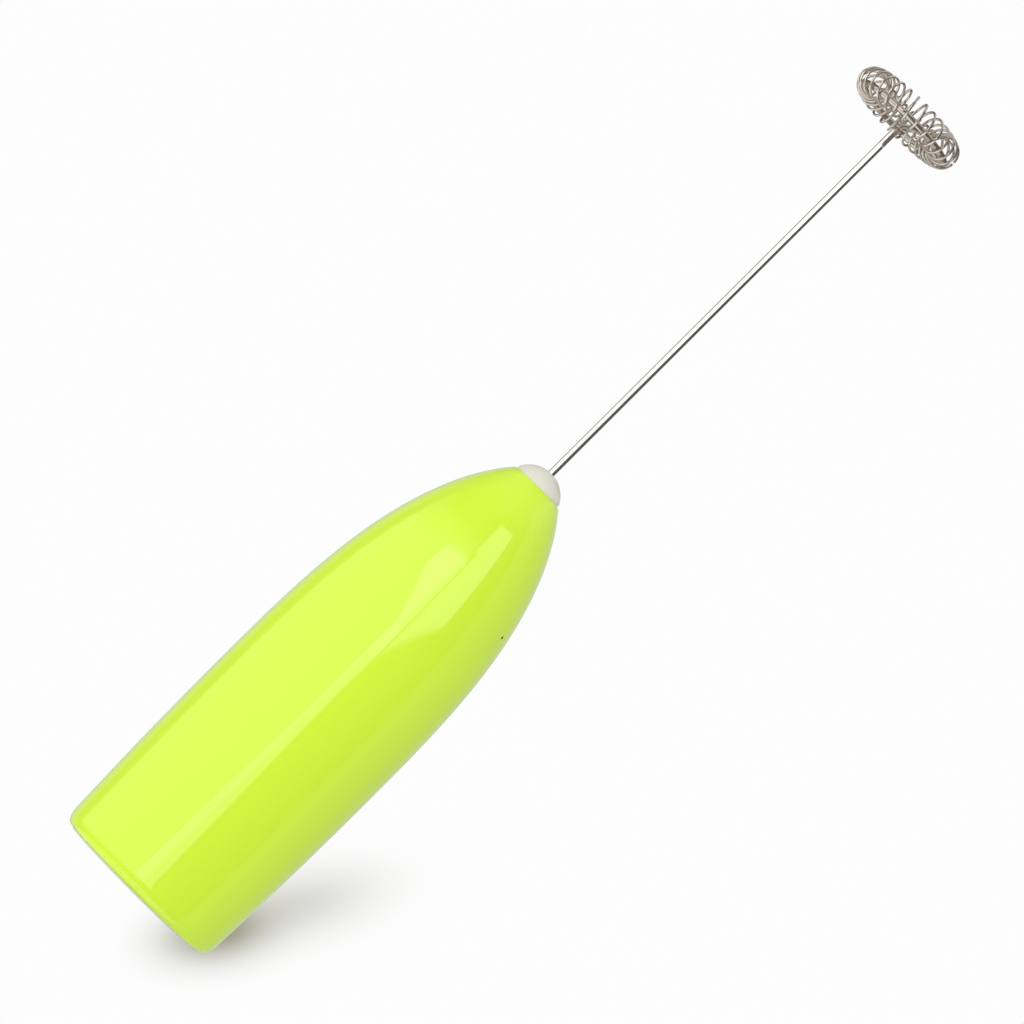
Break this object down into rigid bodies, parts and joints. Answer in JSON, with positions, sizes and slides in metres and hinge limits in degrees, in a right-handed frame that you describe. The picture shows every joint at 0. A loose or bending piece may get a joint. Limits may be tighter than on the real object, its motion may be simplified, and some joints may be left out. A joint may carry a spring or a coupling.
{
  "type": "milk frother",
  "caption": "Handheld battery milk frother: a lime oval bullet shell slides off a core holding cells, a small motor and an end switch; the motor spins a coil whisk on a wire stem.",
  "frame": {"origin": "centre of the flat base cap's outer face, on the motor and whisk axis", "axes": "+Z along the axis from the base cap up to the whisk; +X across the wide way of the oval handle; +Y across the narrow way, with the cells' open side on -Y"},
  "size_m": [0.0388, 0.0286, 0.2098],
  "materials": {
    "shell_gloss": "glossy lime green moulding",
    "pale_plastic": "satin off-white moulding",
    "core_plastic": "satin light grey moulding",
    "contact_brass": "pressed sheet, lightly brushed",
    "spring_steel": "bright nickel-plated wire",
    "cell_wrap_a": "off-white film with a teal band and no text, plated nub",
    "cell_wrap_b": "off-white film with a teal band and no text, plated nub",
    "motor_steel": "drawn, zinc plated",
    "bell_plastic": "moulded nylon",
    "magnet_ferrite": "sintered ferrite",
    "bush_bronze": "sintered bronze",
    "shaft_steel": "ground",
    "core_steel": "laminated sheet",
    "winding_copper": "enamelled copper wire",
    "commutator_copper": "turned copper",
    "coupling_plastic": "moulded nylon",
    "whisk_steel": "bright stainless wire",
    "coil_steel": "stainless spring wire",
    "knob_plastic": "satin grey moulding"
  },
  "bodies": {
    "chassis": {"base_cap": "pale_plastic", "chassis_frame": "core_plastic", "nose_cap": "pale_plastic", "positive_strip": "contact_brass", "negative_strip": "contact_brass", "negative_contact": "contact_brass", "front_bridge": "contact_brass", "rear_spring": "spring_steel", "front_spring": "spring_steel", "battery_cell_a": "cell_wrap_a", "battery_cell_b": "cell_wrap_b", "motor_can": "motor_steel", "motor_end_bell": "bell_plastic", "motor_magnet_left": "magnet_ferrite", "motor_magnet_right": "magnet_ferrite", "motor_rear_bush": "bush_bronze", "motor_front_bush": "bush_bronze", "motor_terminals": "contact_brass", "motor_brushes": "contact_brass"},
    "rotor": {"motor_shaft": "shaft_steel", "armature_core": "core_steel", "armature_windings": "winding_copper", "commutator": "commutator_copper", "drive_coupling": "coupling_plastic", "whisk_rod": "whisk_steel", "whisk_coil": "coil_steel"},
    "switch": {"switch_slider": "knob_plastic", "switch_wiper": "contact_brass"},
    "shell": {"outer_shell": "shell_gloss"}
  },
  "joints": [
    {"name": "shell_slide", "type": "slide", "parent": "chassis", "child": "shell", "axis": [0, 0, 1], "range_m": [0, 0.085]},
    {"name": "whisk_spin", "type": "hinge", "parent": "chassis", "child": "rotor", "pos_m": [0, 0, 0.08], "axis": [0, 0, 1], "continuous": true},
    {"name": "switch_slide", "type": "slide", "parent": "chassis", "child": "switch", "axis": [1, 0, 0], "range_m": [0, 0.004]}
  ]
}
